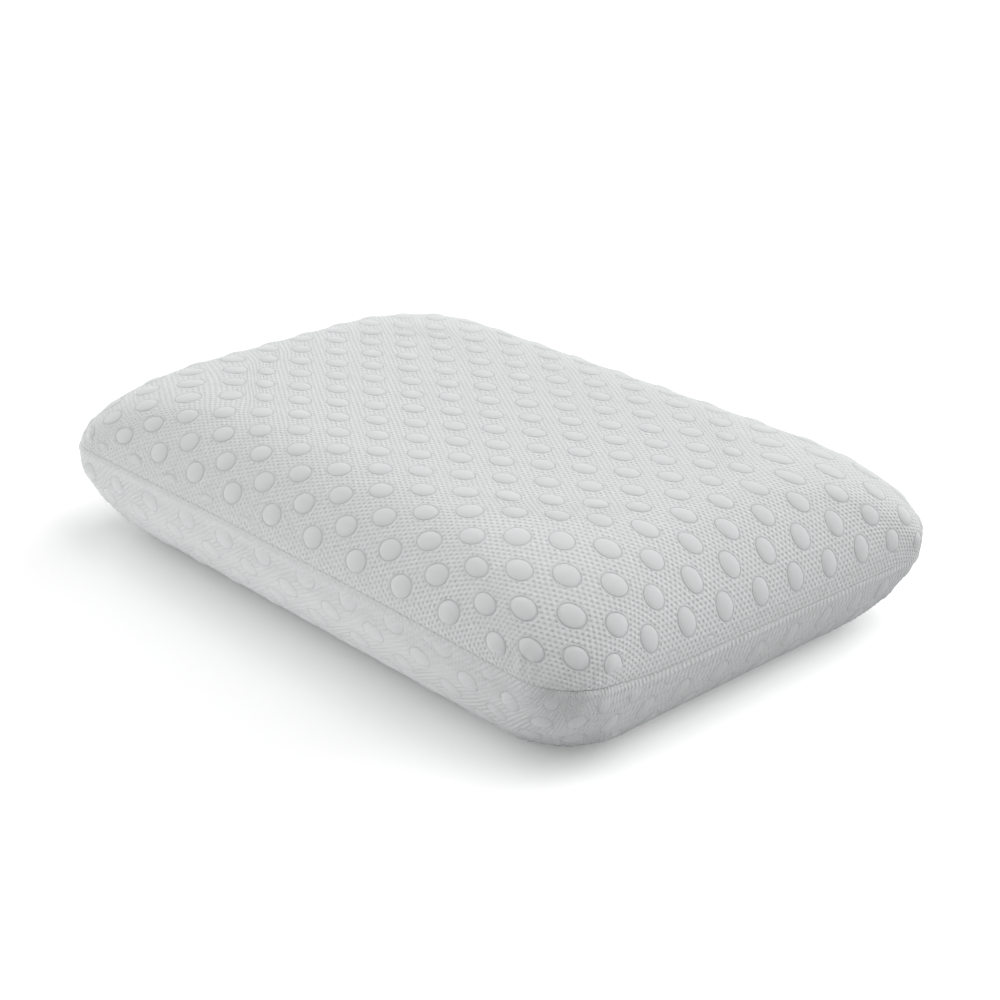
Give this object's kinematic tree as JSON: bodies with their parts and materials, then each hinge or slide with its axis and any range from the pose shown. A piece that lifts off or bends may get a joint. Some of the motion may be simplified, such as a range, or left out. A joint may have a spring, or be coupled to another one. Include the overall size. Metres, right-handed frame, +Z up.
{
  "type": "bed pillow",
  "caption": "Moulded foam bed pillow with a thin sewn liner and a removable knit cover that opens with a zip along its back seam.",
  "frame": {"origin": "centre of the flat underside, on the bed", "axes": "+X along the long side towards the closed end of the zip, +Y towards the side with the zip, +Z up"},
  "size_m": [0.61, 0.4122, 0.1385],
  "materials": {
    "cover_knit": "matte",
    "liner_knit": "matte",
    "foam": "matte",
    "thread": "matte",
    "zip_tape": "matte",
    "zip_coil": "satin",
    "zip_metal": "satin",
    "label": "satin"
  },
  "bodies": {
    "pillow": {"foam_core": "foam", "liner_upper_panel": "liner_knit", "liner_lower_panel": "liner_knit", "liner_seam_thread": "thread", "cover_top_panel": "cover_knit", "cover_bottom_panel": "cover_knit", "cover_seam_thread": "thread", "zip_tape_upper": "zip_tape", "zip_tape_lower": "zip_tape", "zip_coil_upper": "zip_coil", "zip_coil_lower": "zip_coil", "zip_top_stop_upper": "zip_metal", "zip_top_stop_lower": "zip_metal", "zip_bottom_stop": "zip_metal", "care_label": "label"},
    "slider": {"zip_slider": "zip_metal"},
    "pull": {"zip_pull": "zip_metal"}
  },
  "joints": [
    {"name": "zip_slide", "type": "slide", "parent": "pillow", "child": "slider", "axis": [-1, 0, 0], "range_m": [0, 0.389]},
    {"name": "pull_hinge", "type": "hinge", "parent": "slider", "child": "pull", "pos_m": [0.1945, 0.206, 0.068], "axis": [0, 0, -1], "range_deg": [0, 176]}
  ]
}
